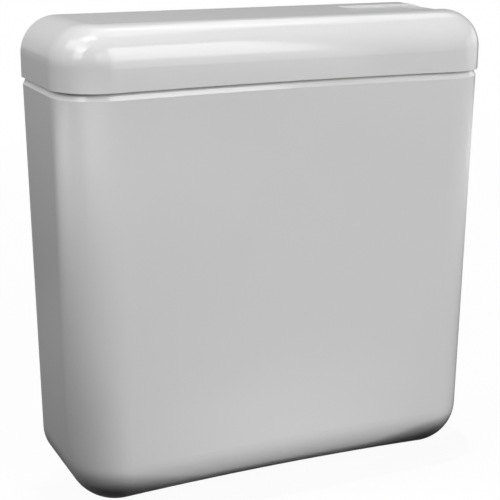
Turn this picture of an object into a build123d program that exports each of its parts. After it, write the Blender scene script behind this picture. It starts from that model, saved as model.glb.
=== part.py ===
from build123d import *
import os
from math import cos, pi, sin

# A wall-hung plastic toilet cistern with a flush key in its lid, in millimetres.
# The origin is midway between the two wall screw holes, on the wall's face.
# X runs to the right of the cistern, Y into the wall and Z up.

# Overall size
LID_WIDTH = 390.0
LID_DEPTH = 123.5
LID_HEIGHT = 49.6
TANK_HEIGHT = 354.2
LID_GAP = 1.0
LID_BACK_GAP = 0.5

# Wall fixing
FIXING_HEIGHT = 300.0
FIXING_SPACING = 200.0
FIXING_HOLE_R = 3.5
FIXING_PAD_R = 9.0
FIXING_PAD_T = 2.4

# Tank moulding
BASE_SIDE_INSET = 6.6
BASE_FRONT_INSET = 3.7
SHOULDER_SIDE_INSET = 1.0
SHOULDER_FRONT_INSET = 1.5
BASE_ARCH = 3.0
EDGE_ARCH = 1.1
TANK_CORNER_R = 42.3
TANK_BASE_R = 40.0
TANK_WALL = 3.2
SHOULDER_DROP = 5.2
SHOULDER_SLOPE = 2.6
RIM_HEIGHT = 14.0
RIM_WALL = 3.0

# Lid moulding
LID_CORNER_R = 43.2
LID_EDGE_R = 31.2
LID_WALL = 3.0
LID_CLEARANCE = 1.2
LID_SEAT_GAP = 0.2
LID_RIB_T = 2.4
LID_RIB_HEIGHT = 9.0
LID_RIB_REACH = 1.4
LID_RIB_SHARES = (-0.6, -0.1, 0.38)

# Flush key and its pocket in the lid
POCKET_BACK = 22.5
POCKET_WIDTH = 57.0
POCKET_LENGTH = 87.0
POCKET_RIGHT_INSET = 16.6
POCKET_DEPTH = 20.0
POCKET_WALL = 2.0
POCKET_EDGE_R = 0.6
KEY_EDGE_R = 0.7
EDGE_SLACK = 0.01
KEY_GAP = 0.5
KEY_END_GAP = 0.7
KEY_RECESS = 1.4
KEY_SKIN = 2.4
KEY_SKIRT_T = 1.8
KEY_SKIRT_DEPTH = 10.0
KEY_AXIS_DROP = 7.0
KEY_AXIS_INSET = 5.5
KEY_PIN_R = 1.6
KEY_PIN_SEAT = 1.2
KEY_BOSS_R = 3.0
KEY_BOSS_LENGTH = 7.0
KEY_FOOT_ARM = 53.0
KEY_FOOT_T = 6.0
KEY_FOOT_WIDTH = 8.0
KEY_FOOT_SLOT_LEFT = 4.6
KEY_FOOT_SLOT_RIGHT = 1.4
DISH_R = 130.0
DISH_DEPTH = 1.3
DISH_FROM_END = 17.0
SPRING_TO_FOOT = 15.5
SPRING_R = 4.4
SPRING_WIRE_R = 0.45
SPRING_TURNS = 6
SPRING_GAP = 0.3
SPRING_POST_R = 2.6
SPRING_POST_HEIGHT = 4.0

# Lift lever and the bridge that carries it
LEVER_DROP = 32.8
LEVER_SHORT_ARM = 32.0
LEVER_PAD_RISE = 6.4
LEVER_PAD_T = 5.0
LEVER_PAD_WIDTH = 24.0
LEVER_PAD_END = 6.0
LEVER_BEAM_WIDTH = 12.0
LEVER_BEAM_DEPTH = 8.0
LEVER_HUB_R = 5.4
LEVER_HUB_WIDTH = 14.0
LEVER_FORK_FALL = 6.0
LEVER_FORK_T = 6.0
LEVER_TINE_WIDTH = 6.0
LEVER_TINE_END = 9.0
LEVER_FORK_ROOT = 24.0
LEVER_TOUCH_GAP = 0.4
LEVER_PIN_R = 2.0
PIN_GAP = 0.08
BRIDGE_WIDTH = 14.0
BRIDGE_DEPTH = 8.0
BRIDGE_TOP_DROP = 2.2
BRIDGE_GAP = 0.3
BRIDGE_SEAT_REACH = 6.0
BRIDGE_SEAT_CHEEK = 3.0
BRIDGE_SEAT_DEPTH = 9.0
BRIDGE_SEAT_LIP = 4.0
BRIDGE_EAR_T = 3.0
BRIDGE_EAR_R = 5.4
BRIDGE_EAR_GAP = 0.4

# Outlet in the floor
OUTLET_FROM_WALL = 44.0
RECESS_R = 33.0
RECESS_DEPTH = 22.0
SPIGOT_R = 23.9
SPIGOT_END = 1.5
SPIGOT_HOLE_GAP = 0.4
FLUSH_BORE_R = 20.25
FLUSH_SOCKET = 20.0
SEAT_BORE_R = 18.5
SEAT_RIM_T = 3.0
SEAT_RIM_HEIGHT = 3.0
OUTLET_FLANGE_R = 31.0
OUTLET_FLANGE_T = 4.0
OUTLET_WASHER_T = 3.0
BACKNUT_R = 30.5
BACKNUT_T = 8.0
BACKNUT_NOTCHES = 8
BACKNUT_NOTCH_R = 2.6
THREAD_GAP = 0.15
PIPE_NUT_R = 27.4
PIPE_NUT_TOP = 11.0
PIPE_NUT_END = 5.0
PIPE_NUT_LIP = 2.5
PIPE_NUT_RIBS = 18
PIPE_NUT_RIB_R = 0.9
PIPE_SEAL_GAP = 0.1
PIPE_SEAL_CONE = 1.6

# Flush valve
CAGE_R = 31.0
CAGE_WALL = 3.4
CAGE_BASE_HEIGHT = 8.0
CAGE_HEIGHT = 92.0
CAGE_TOP_T = 4.0
CAGE_LEGS = 4
CAGE_LEG_WIDTH = 9.0
CAGE_COLLAR_HEIGHT = 12.0
CAGE_COLLAR_T = 3.0
CAGE_PORT_R = 4.5
TUBE_R = 12.5
TUBE_WALL = 1.8
TUBE_GUIDE_GAP = 0.5
TUBE_TOP_DROP = 68.0
TUBE_FOOT_R = 20.0
TUBE_FOOT_T = 3.0
TUBE_TAIL = 4.0
SEAL_R = 24.5
SEAL_T = 2.2
SEAL_GAP = 0.2
RETAINER_R = 16.5
RETAINER_T = 3.4
RETAINER_BEVEL = 0.6
VALVE_FLOAT_R = 22.0
VALVE_FLOAT_HEIGHT = 40.0
VALVE_FLOAT_RISE = 12.0
VALVE_FLOAT_EDGE = 4.0
YOKE_COLLAR_T = 2.6
YOKE_COLLAR_HEIGHT = 16.0
YOKE_LEG_T = 3.5
YOKE_LEG_WIDTH = 8.0
YOKE_HEAD_HEIGHT = 8.0
YOKE_LEG_GAP = 2.0
YOKE_PIN_R = 3.0
YOKE_PIN_END = 1.0
YOKE_LIFT_GAP = 0.5

# Water inlet and fill valve
INLET_FROM_WALL = 44.0
INLET_DROP = 36.2
INLET_SPOT_DEPTH = 0.6
INLET_SPOT_R = 18.5
INLET_SEAT_T = 6.0
INLET_BOSS_R = 18.0
INLET_HOLE_GAP = 0.4
SHANK_R = 10.4
SHANK_THREAD_R = 10.9
SHANK_THREAD_END = 1.0
SHANK_OUT = 24.0
SHANK_BORE_R = 6.5
INLET_NUT_FLATS = 29.0
INLET_NUT_T = 7.0
INLET_WASHER_T = 2.5
FILL_FLANGE_R = 16.0
FILL_FLANGE_T = 4.0
BARREL_R = 12.5
BARREL_LENGTH = 15.0
HEAD_R = 18.0
HEAD_LENGTH = 10.0
CHAMBER_R = 13.0
CHAMBER_DEPTH = 7.0
NOZZLE_R = 5.5
NOZZLE_BORE_R = 3.0
NOZZLE_SETBACK = 1.2
ANNULUS_R = 9.5
ANNULUS_DEPTH = 17.0
DROP_BOSS_R = 8.5
DROP_BOSS_LENGTH = 20.0
DROP_FROM_FLANGE = 8.0
DROP_TUBE_R = 6.5
DROP_TUBE_WALL = 1.2
DROP_TUBE_GAP = 0.1
DROP_TUBE_SEAT = 8.0
DROP_TUBE_FLOOR_GAP = 55.0
DIAPHRAGM_T = 1.6
DIAPHRAGM_R = 17.0
DIAPHRAGM_BOSS_R = 4.6
DIAPHRAGM_BOSS_T = 0.9
CAP_WALL = 2.6
CAP_FACE_T = 4.4
CAP_GRIP = 7.0
CAP_GAP = 0.2
CAP_RIBS = 20
CAP_RIB_R = 0.9
PLUNGER_R = 3.6
PLUNGER_GAP = 0.3
PLUNGER_BODY = 9.5
PLUNGER_NOSE_R = 1.5
PLUNGER_NOSE = 4.0
PLUNGER_STROKE = 4.7
FILTER_R = 6.3
FILTER_WALL = 0.8
FILTER_LENGTH = 16.0
FILTER_LIP_T = 1.4
FILTER_SLOTS = 6
FILTER_SLOT_WIDTH = 1.6
FILTER_SLOT_LENGTH = 9.0

# Float arm and float
ARM_PIN_DROP = 9.0
ARM_PIN_R = 1.5
ARM_EAR_T = 3.0
ARM_EAR_R = 4.2
ARM_HUB_R = 4.2
ARM_HUB_WIDTH = 9.0
ARM_EAR_GAP = 0.4
ARM_HEEL_T = 2.6
ARM_HEEL_OVER = 3.0
ARM_REACH = 66.0
ARM_DEPTH = 7.0
ARM_WIDTH = 6.0
ARM_EYE_R = 8.0
ARM_EYE_T = 9.0
STEM_R = 3.0
STEM_GAP = 0.3
FLOAT_R = 22.0
FLOAT_HEIGHT = 46.0
FLOAT_EDGE_R = 5.0
FLOAT_DROP = 20.0
FLOAT_BORE_GAP = 0.4
FLOAT_HANG = 32.0
STEM_COLLAR_R = 5.2
STEM_COLLAR_T = 2.4
FLOAT_NUT_R = 6.5
FLOAT_NUT_T = 5.0
KNOB_R = 6.0
KNOB_T = 6.0
KNOB_RIBS = 10
KNOB_RIB_R = 0.7

CUT_OVERRUN = 2.0
UPRIGHT_SHARE = 0.8

# Levels and places that follow from the sizes above
front_y = -(LID_BACK_GAP + LID_DEPTH)
base_z = -FIXING_HEIGHT
shoulder_z = base_z + TANK_HEIGHT
rim_z = shoulder_z + RIM_HEIGHT
lid_edge_z = shoulder_z + LID_GAP
lid_top_z = lid_edge_z + LID_HEIGHT
rim_inset = LID_WALL + LID_CLEARANCE

pocket_x1 = LID_WIDTH / 2 - POCKET_RIGHT_INSET
pocket_x0 = pocket_x1 - POCKET_LENGTH
pocket_y1 = -POCKET_BACK
pocket_y0 = pocket_y1 - POCKET_WIDTH
pocket_floor_z = lid_top_z - POCKET_DEPTH
key_y = (pocket_y0 + pocket_y1) / 2
key_axis_x = pocket_x0 + KEY_AXIS_INSET
key_axis_z = lid_top_z - KEY_AXIS_DROP
key_under_z = lid_top_z - KEY_RECESS - KEY_SKIN
foot_x = key_axis_x + KEY_FOOT_ARM
spring_x = foot_x - SPRING_TO_FOOT

outlet_y = -OUTLET_FROM_WALL
recess_z = base_z + RECESS_DEPTH
platform_z = recess_z + TANK_WALL
flange_z = platform_z + OUTLET_WASHER_T
cage_z = flange_z + OUTLET_FLANGE_T
seat_z = cage_z + SEAT_RIM_HEIGHT
seal_z = seat_z + SEAL_GAP
tube_foot_z = seal_z + SEAL_T
tube_top_z = shoulder_z - TUBE_TOP_DROP
cage_top_z = cage_z + CAGE_HEIGHT

lever_y = outlet_y
lever_z = lid_top_z - LEVER_DROP
lever_x = foot_x - LEVER_SHORT_ARM
pad_z = lever_z + LEVER_PAD_RISE
fork_z = lever_z - LEVER_FORK_FALL
yoke_pin_z = fork_z + YOKE_LIFT_GAP + YOKE_PIN_R
yoke_half = TUBE_R + YOKE_COLLAR_T
tine_y = yoke_half + YOKE_LEG_GAP
bridge_z = rim_z - BRIDGE_TOP_DROP

inlet_z = shoulder_z - INLET_DROP
inlet_y = -INLET_FROM_WALL


def wall_half_width(z):
    """Half the tank's outer width at a height, on its tapered sides."""
    base_half = LID_WIDTH / 2 - BASE_SIDE_INSET
    shoulder_half = LID_WIDTH / 2 - SHOULDER_SIDE_INSET
    return base_half + (shoulder_half - base_half) * (z - base_z) / TANK_HEIGHT


inlet_seat_x = wall_half_width(inlet_z) - INLET_SPOT_DEPTH
inlet_inner_x = inlet_seat_x - INLET_SEAT_T
fill_flange_x = inlet_inner_x - INLET_WASHER_T
barrel_x = fill_flange_x - FILL_FLANGE_T
head_x = barrel_x - BARREL_LENGTH
head_face_x = head_x - HEAD_LENGTH
cap_inner_x = head_face_x - DIAPHRAGM_T
cap_face_x = cap_inner_x - CAP_FACE_T
plunger_x = cap_inner_x - PLUNGER_GAP
plunger_tip_x = plunger_x - PLUNGER_BODY - PLUNGER_NOSE
arm_pin_x = plunger_tip_x - PLUNGER_GAP - ARM_HEEL_T
arm_pin_z = inlet_z - ARM_PIN_DROP
drop_x = barrel_x - DROP_FROM_FLANGE
stem_x = arm_pin_x - ARM_REACH
float_top_z = arm_pin_z - FLOAT_DROP
float_base_z = float_top_z - FLOAT_HEIGHT


# Shapes that several pieces share

def box(x0, x1, y0, y1, z0, z1):
    """A block between three pairs of planes."""
    middle = Pos((x0 + x1) / 2, (y0 + y1) / 2, (z0 + z1) / 2)
    return middle * Box(x1 - x0, y1 - y0, z1 - z0)


def post(radius, z0, z1, x=0, y=0):
    """An upright round bar."""
    return Pos(x, y, (z0 + z1) / 2) * Cylinder(radius, z1 - z0)


def bar_x(radius, x0, x1, y, z):
    """A round bar along X."""
    return Pos((x0 + x1) / 2, y, z) * Rot(0, 90, 0) * Cylinder(radius, x1 - x0)


def bar_y(radius, y0, y1, x, z):
    """A round bar along Y."""
    return Pos(x, (y0 + y1) / 2, z) * Rot(90, 0, 0) * Cylinder(radius, y1 - y0)


def turned(outline):
    """A solid turned about Z from its outline of radius and height."""
    return revolve(Plane.XZ * make_face(Polyline(*outline, close=True)), Axis.Z)


def side_cut(outline, y0, y1):
    """A plate with an outline in X and Z, between two planes across Y."""
    face = Plane.XZ * make_face(Polyline(*outline, close=True))
    return Pos(0, y1, 0) * extrude(face, amount=y1 - y0)


def arched(half, z, rise, corner):
    """A level line from side to side, or one arched up between the corners' starts."""
    if not rise:
        return Line((-half, z), (half, z))
    end_z = z + rise * (1 - (half / (half - corner)) ** 2)
    return ThreePointArc((-half, end_z), (0, z + rise), (half, end_z))


def tapered_block(base_half, top_half, back, base_front, top_front, z0, z1, rises, corner):
    """A block with tapered sides and front, a flat back and ends arched between its corners."""
    base_rise, top_rise = rises
    lower = arched(base_half, z0, base_rise, corner)
    upper = arched(top_half, z1, top_rise, corner)
    outline = Curve() + [lower, Line(lower @ 1, upper @ 1), upper, Line(upper @ 0, lower @ 0)]
    seen_in_front = extrude(Plane.XZ * make_face(outline), amount=-base_front * 2, both=True)
    low = (lower @ 0).Y
    high = z1 + top_rise
    side = [(back, low), (base_front, low), (top_front, high), (back, high)]
    profile = make_face(Polyline(*side, close=True))
    seen_from_side = extrude(Plane.YZ * profile, amount=top_half * 2, both=True)
    return seen_in_front & seen_from_side


def front_corners(block):
    """The upright edges at the two front corners."""
    height = block.bounding_box().size.Z
    middle_y = block.bounding_box().center().Y
    return [
        edge for edge in block.edges()
        if edge.bounding_box().size.Z > height * UPRIGHT_SHARE and edge.center().Y < middle_y
    ]


def face_chain(block, end):
    """The edges round an end face, without the one along the back."""
    face = block.faces().sort_by(Axis.Z)[end]
    back_y = block.bounding_box().max.Y
    return [edge for edge in face.edges() if edge.bounding_box().min.Y < back_y - LID_BACK_GAP]


def rounded_plan(half, back, front, radius, z0, z1):
    """An upright block with its two front corners rounded."""
    return fillet(front_corners(box(-half, half, front, back, z0, z1)), radius)


# The tank

def tank_form(wall):
    """The tapered tank with rounded front corners and base, drawn in by a wall."""
    form = tapered_block(
        LID_WIDTH / 2 - BASE_SIDE_INSET - wall,
        LID_WIDTH / 2 - SHOULDER_SIDE_INSET - wall,
        -wall,
        front_y + BASE_FRONT_INSET + wall,
        front_y + SHOULDER_FRONT_INSET + wall,
        base_z + wall,
        shoulder_z,
        (BASE_ARCH, EDGE_ARCH),
        TANK_CORNER_R,
    )
    form = fillet(front_corners(form), TANK_CORNER_R - wall)
    form = fillet(face_chain(form, 0), TANK_BASE_R - wall)
    top = form.faces().sort_by(Axis.Z)[-1]
    return chamfer(face_chain(form, -1), SHOULDER_SLOPE, SHOULDER_DROP, reference=top)


def rim_form(extra, z0, z1):
    """The upright rim inside the lid's skirt, drawn in by a wall."""
    inset = rim_inset + extra
    half = LID_WIDTH / 2 - inset
    back = -LID_BACK_GAP - inset
    return rounded_plan(half, back, front_y + inset, TANK_CORNER_R - inset, z0, z1)


def bridge_seats():
    """Two pockets on the rim that take the ends of the lever's bridge."""
    half = BRIDGE_WIDTH / 2 + BRIDGE_GAP + BRIDGE_SEAT_CHEEK
    seat_z = bridge_z - BRIDGE_DEPTH - BRIDGE_SEAT_DEPTH
    lip_z = bridge_z - BRIDGE_DEPTH + BRIDGE_SEAT_LIP
    y_front = front_y + rim_inset + RIM_WALL / 2
    y_back = -LID_BACK_GAP - rim_inset - RIM_WALL / 2
    reach = RIM_WALL / 2 + BRIDGE_SEAT_REACH
    seats = box(lever_x - half, lever_x + half, y_front, y_front + reach, seat_z, lip_z)
    seats += box(lever_x - half, lever_x + half, y_back - reach, y_back, seat_z, lip_z)
    return seats


def bridge_space():
    """The room that the bridge's ends take in their pockets."""
    half = BRIDGE_WIDTH / 2 + BRIDGE_GAP
    y0 = front_y + rim_inset + RIM_WALL
    y1 = -LID_BACK_GAP - rim_inset - RIM_WALL
    return box(lever_x - half, lever_x + half, y0, y1, bridge_z - BRIDGE_DEPTH, bridge_z)


def tank_outside():
    """The tank's outer form, with the recess that keeps the outlet's nuts up inside."""
    outside = tank_form(0) + rim_form(0, shoulder_z - SHOULDER_DROP, rim_z)
    return outside - post(RECESS_R, base_z - CUT_OVERRUN, recess_z, 0, outlet_y)


def tank_inside():
    """The room for water, less what the moulding keeps thick inside its walls."""
    inside = tank_form(TANK_WALL)
    inside += rim_form(RIM_WALL, shoulder_z - SHOULDER_DROP * 2, rim_z + CUT_OVERRUN)
    # The floor steps up round the outlet
    inside -= post(RECESS_R + TANK_WALL, base_z - CUT_OVERRUN, platform_z, 0, outlet_y)
    # A thick boss takes the inlet's washer and nut
    inside -= bar_x(INLET_BOSS_R, inlet_inner_x, inlet_seat_x, inlet_y, inlet_z)
    for side in (-1, 1):
        x = side * FIXING_SPACING / 2
        inside -= bar_y(FIXING_PAD_R, -TANK_WALL - FIXING_PAD_T, CUT_OVERRUN, x, 0)
    return inside - (bridge_seats() - bridge_space())


def make_tank():
    tank = tank_outside() - tank_inside()
    hole_r = SPIGOT_R + SPIGOT_HOLE_GAP
    tank -= post(hole_r, recess_z - CUT_OVERRUN, platform_z + CUT_OVERRUN, 0, outlet_y)
    outside_x = inlet_seat_x + SHANK_OUT
    tank -= bar_x(INLET_SPOT_R, inlet_seat_x, outside_x, inlet_y, inlet_z)
    hole_r = SHANK_THREAD_R + INLET_HOLE_GAP
    tank -= bar_x(hole_r, inlet_inner_x - CUT_OVERRUN, outside_x, inlet_y, inlet_z)
    for side in (-1, 1):
        x = side * FIXING_SPACING / 2
        tank -= bar_y(FIXING_HOLE_R, -TANK_WALL * 2 - FIXING_PAD_T, CUT_OVERRUN, x, 0)
    return tank


# The lid

def lid_form(wall):
    """The lid with its bullnose edge, drawn in by a wall and open below."""
    form = tapered_block(
        LID_WIDTH / 2 - wall,
        LID_WIDTH / 2 - wall,
        -LID_BACK_GAP - wall,
        front_y + wall,
        front_y + wall,
        lid_edge_z - (CUT_OVERRUN if wall else 0),
        lid_top_z - wall,
        (0 if wall else EDGE_ARCH, 0),
        LID_CORNER_R,
    )
    form = fillet(front_corners(form), LID_CORNER_R - wall)
    return fillet(face_chain(form, -1), LID_EDGE_R - wall)


def pocket_plan(inset, z0, z1):
    """The flush key's pocket, drawn in by an inset or let out by less than none."""
    return box(
        pocket_x0 + inset, pocket_x1 - inset,
        pocket_y0 + inset, pocket_y1 - inset,
        z0, z1,
    )


def mouth_edges(solid, x0, x1, y0, y1, z_low):
    """The edges that run round the sides of an upright box, above a height."""
    found = []
    for edge in solid.edges():
        span = edge.bounding_box()
        on_side = EDGE_SLACK > min(
            abs(span.max.X - x0), abs(span.min.X - x1),
            abs(span.max.Y - y0), abs(span.min.Y - y1),
        )
        within = EDGE_SLACK > max(
            x0 - span.min.X, span.max.X - x1,
            y0 - span.min.Y, span.max.Y - y1,
        )
        if on_side and within and span.min.Z > z_low:
            found.append(edge)
    return found


def make_lid():
    outside = lid_form(0)
    lid = outside - lid_form(LID_WALL)
    # The pocket is a tub hung from the lid's top, with a softened mouth
    tub = pocket_plan(-POCKET_WALL, pocket_floor_z - POCKET_WALL, lid_top_z)
    lid += tub & outside
    lid -= pocket_plan(0, pocket_floor_z, lid_top_z + CUT_OVERRUN)
    mouth = mouth_edges(lid, pocket_x0, pocket_x1, pocket_y0, pocket_y1, key_axis_z)
    lid = fillet(mouth, POCKET_EDGE_R)
    # Ribs under the skirt stand on the tank's rim
    rib_z = rim_z + LID_SEAT_GAP
    reach = LID_CLEARANCE + RIM_WALL + LID_RIB_REACH
    for share in LID_RIB_SHARES:
        x = share * LID_WIDTH / 2
        x0 = x - LID_RIB_T / 2
        x1 = x + LID_RIB_T / 2
        y_in = front_y + LID_WALL / 2
        y_end = front_y + LID_WALL + reach
        lid += box(x0, x1, y_in, y_end, rib_z, rib_z + LID_RIB_HEIGHT)
        y_in = -LID_BACK_GAP - LID_WALL / 2
        y_end = -LID_BACK_GAP - LID_WALL - reach
        lid += box(x0, x1, y_end, y_in, rib_z, rib_z + LID_RIB_HEIGHT)
    for side in (-1, 1):
        x_in = side * (LID_WIDTH / 2 - LID_WALL / 2)
        x_end = side * (LID_WIDTH / 2 - LID_WALL - reach)
        y0 = front_y / 2 - LID_RIB_T / 2
        y1 = front_y / 2 + LID_RIB_T / 2
        lid += box(min(x_in, x_end), max(x_in, x_end), y0, y1, rib_z, rib_z + LID_RIB_HEIGHT)
    # The pocket's floor has a slot for the key's foot and a post for its spring
    lid -= box(
        foot_x - KEY_FOOT_T / 2 - KEY_FOOT_SLOT_LEFT,
        foot_x + KEY_FOOT_T / 2 + KEY_FOOT_SLOT_RIGHT,
        key_y - KEY_FOOT_WIDTH / 2 - KEY_FOOT_SLOT_RIGHT,
        key_y + KEY_FOOT_WIDTH / 2 + KEY_FOOT_SLOT_RIGHT,
        pocket_floor_z - POCKET_WALL * 2,
        pocket_floor_z + CUT_OVERRUN,
    )
    post_top = pocket_floor_z + SPRING_POST_HEIGHT
    lid += post(SPRING_POST_R, pocket_floor_z, post_top, spring_x, key_y)
    seat_y0 = pocket_y0 - KEY_PIN_SEAT
    seat_y1 = pocket_y1 + KEY_PIN_SEAT
    lid -= bar_y(KEY_PIN_R, seat_y0, seat_y1, key_axis_x, key_axis_z)
    return lid


def make_key_pin():
    y0 = pocket_y0 - KEY_PIN_SEAT
    y1 = pocket_y1 + KEY_PIN_SEAT
    return bar_y(KEY_PIN_R, y0, y1, key_axis_x, key_axis_z)


def make_key_spring():
    """A coil between the pocket's floor and the key, round the floor's post."""
    base = pocket_floor_z + SPRING_WIRE_R + SPRING_GAP
    length = key_under_z - SPRING_WIRE_R - SPRING_GAP - base
    coil = Helix(length / SPRING_TURNS, length, SPRING_R)
    wire = Plane(coil @ 0, z_dir=coil % 0) * Circle(SPRING_WIRE_R)
    return Pos(spring_x, key_y, base) * sweep(wire, path=coil, is_frenet=True)


def make_flush_key():
    """A shallow shell that follows the lid's curve, with a foot and two hinge bosses."""
    x0 = pocket_x0 + KEY_END_GAP
    x1 = pocket_x1 - KEY_GAP
    y0 = pocket_y0 + KEY_GAP
    y1 = pocket_y1 - KEY_GAP
    skirt_z = lid_top_z - KEY_SKIRT_DEPTH
    outside = lid_form(0)
    key = (Pos(0, 0, -KEY_RECESS) * outside) & box(x0, x1, y0, y1, skirt_z, lid_top_z)
    key = fillet(mouth_edges(key, x0, x1, y0, y1, skirt_z + KEY_EDGE_R), KEY_EDGE_R)
    hollow = box(
        x0 + KEY_SKIRT_T, x1 - KEY_SKIRT_T,
        y0 + KEY_SKIRT_T, y1 - KEY_SKIRT_T,
        skirt_z - CUT_OVERRUN, lid_top_z,
    )
    key -= (Pos(0, 0, -KEY_RECESS - KEY_SKIN) * outside) & hollow
    # The foot reaches down through the pocket's slot and ends in a half round
    tip_r = KEY_FOOT_T / 2
    tip_z = pad_z + LEVER_TOUCH_GAP + tip_r
    foot_y0 = key_y - KEY_FOOT_WIDTH / 2
    foot_y1 = key_y + KEY_FOOT_WIDTH / 2
    foot_top = key_under_z + KEY_SKIN / 2
    key += box(foot_x - tip_r, foot_x + tip_r, foot_y0, foot_y1, tip_z, foot_top)
    key += bar_y(tip_r, foot_y0, foot_y1, foot_x, tip_z)
    web_x0 = key_axis_x - KEY_BOSS_R
    web_x1 = key_axis_x + KEY_BOSS_R
    for low, high in ((y0, y0 + KEY_BOSS_LENGTH), (y1 - KEY_BOSS_LENGTH, y1)):
        key += bar_y(KEY_BOSS_R, low, high, key_axis_x, key_axis_z)
        key += box(web_x0, web_x1, low, high, key_axis_z, foot_top)
    key -= bar_y(KEY_PIN_R + PIN_GAP, pocket_y0, pocket_y1, key_axis_x, key_axis_z)
    dish_z = lid_top_z - KEY_RECESS - DISH_DEPTH + DISH_R
    key -= Pos(x1 - DISH_FROM_END, key_y, dish_z) * Sphere(DISH_R)
    return key


# The lift lever on its bridge

def make_lift_lever():
    """A first-order lever: a pad under the key's foot, a hub and a fork under the yoke."""
    hub_top = lever_z + LEVER_BEAM_DEPTH / 2
    hub_low = lever_z - LEVER_BEAM_DEPTH / 2
    root = LEVER_FORK_ROOT
    beam = [
        (root, fork_z),
        (root, fork_z - LEVER_FORK_T),
        (lever_x, hub_low),
        (lever_x + LEVER_HUB_R * 2, pad_z - LEVER_PAD_T),
        (foot_x, pad_z - LEVER_PAD_T),
        (foot_x, pad_z - LEVER_PAD_T / 2),
        (lever_x + LEVER_HUB_R, hub_top),
        (lever_x, hub_top),
    ]
    half = LEVER_BEAM_WIDTH / 2
    lever = side_cut(beam, lever_y - half, lever_y + half)
    hub_y0 = lever_y - LEVER_HUB_WIDTH / 2
    hub_y1 = lever_y + LEVER_HUB_WIDTH / 2
    lever += bar_y(LEVER_HUB_R, hub_y0, hub_y1, lever_x, lever_z)
    pad_half = LEVER_PAD_WIDTH / 2
    pad_x0 = lever_x + LEVER_HUB_R * 2 + BRIDGE_EAR_GAP
    lever += box(
        pad_x0, foot_x + LEVER_PAD_END,
        lever_y - pad_half, lever_y + pad_half,
        pad_z - LEVER_PAD_T, pad_z,
    )
    fork_half = tine_y + LEVER_TINE_WIDTH
    lever += box(
        -LEVER_TINE_END, root + LEVER_TINE_WIDTH,
        lever_y - fork_half, lever_y + fork_half,
        fork_z - LEVER_FORK_T, fork_z,
    )
    lever -= box(
        -LEVER_TINE_END - CUT_OVERRUN, root,
        lever_y - tine_y, lever_y + tine_y,
        fork_z - LEVER_FORK_T - CUT_OVERRUN, fork_z + CUT_OVERRUN,
    )
    reach = LEVER_HUB_WIDTH
    bore_r = LEVER_PIN_R + PIN_GAP
    return lever - bar_y(bore_r, lever_y - reach, lever_y + reach, lever_x, lever_z)


def make_lever_bridge():
    """A cross bar from rim to rim with two ears for the lever's pin."""
    half = BRIDGE_WIDTH / 2
    y0 = front_y + rim_inset + RIM_WALL + BRIDGE_GAP
    y1 = -LID_BACK_GAP - rim_inset - RIM_WALL - BRIDGE_GAP
    low = bridge_z - BRIDGE_DEPTH
    bridge = box(lever_x - half, lever_x + half, y0, y1, low, bridge_z)
    # The bar is a channel, open below between its ends
    end = BRIDGE_SEAT_REACH * 2
    web = BRIDGE_EAR_T
    x0 = lever_x - half + web
    x1 = lever_x + half - web
    bridge -= box(x0, x1, y0 + end, y1 - end, low, bridge_z - web)
    ear_in = LEVER_HUB_WIDTH / 2 + BRIDGE_EAR_GAP
    for side in (-1, 1):
        y_a = lever_y + side * ear_in
        y_b = lever_y + side * (ear_in + BRIDGE_EAR_T)
        low_y = min(y_a, y_b)
        high_y = max(y_a, y_b)
        ear = [
            (lever_x - half, bridge_z - web / 2),
            (lever_x + half, bridge_z - web / 2),
            (lever_x + BRIDGE_EAR_R, lever_z),
            (lever_x - BRIDGE_EAR_R, lever_z),
        ]
        bridge += side_cut(ear, low_y, high_y)
        bridge += bar_y(BRIDGE_EAR_R, low_y, high_y, lever_x, lever_z)
    reach = LEVER_HUB_WIDTH + BRIDGE_EAR_T
    return bridge - bar_y(LEVER_PIN_R, lever_y - reach, lever_y + reach, lever_x, lever_z)


def make_lever_pin():
    reach = LEVER_HUB_WIDTH / 2 + BRIDGE_EAR_GAP + BRIDGE_EAR_T
    return bar_y(LEVER_PIN_R, lever_y - reach, lever_y + reach, lever_x, lever_z)


# The outlet in the floor

def at_outlet(solid):
    """Moves a piece that was turned about Z onto the outlet's axis."""
    return Pos(0, outlet_y, 0) * solid


def make_outlet_body():
    """The valve seat, its flange and the threaded spigot with the flush pipe's socket."""
    end_z = base_z + SPIGOT_END
    socket_z = end_z + FLUSH_SOCKET
    outline = [
        (FLUSH_BORE_R, end_z),
        (SPIGOT_R, end_z),
        (SPIGOT_R, flange_z),
        (OUTLET_FLANGE_R, flange_z),
        (OUTLET_FLANGE_R, cage_z),
        (SEAT_BORE_R + SEAT_RIM_T, cage_z),
        (SEAT_BORE_R + SEAT_RIM_T / 2, seat_z),
        (SEAT_BORE_R, seat_z),
        (SEAT_BORE_R, socket_z),
        (FLUSH_BORE_R, socket_z),
    ]
    return at_outlet(turned(outline))


def make_outlet_washer():
    inner = SPIGOT_R + SPIGOT_HOLE_GAP
    outline = [
        (inner, platform_z),
        (OUTLET_FLANGE_R, platform_z),
        (OUTLET_FLANGE_R, flange_z),
        (inner, flange_z),
    ]
    return at_outlet(turned(outline))


def make_outlet_backnut():
    """A flanged ring nut with grip notches, drawn up against the recess."""
    inner = SPIGOT_R + THREAD_GAP
    low = recess_z - BACKNUT_T
    outline = [(inner, low), (BACKNUT_R, low), (BACKNUT_R, recess_z), (inner, recess_z)]
    nut = turned(outline)
    for turn in range(BACKNUT_NOTCHES):
        notch = post(BACKNUT_NOTCH_R, low - CUT_OVERRUN, recess_z - BACKNUT_T / 4, BACKNUT_R)
        nut -= Rot(0, 0, turn * 360 / BACKNUT_NOTCHES) * notch
    return at_outlet(nut)


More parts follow.
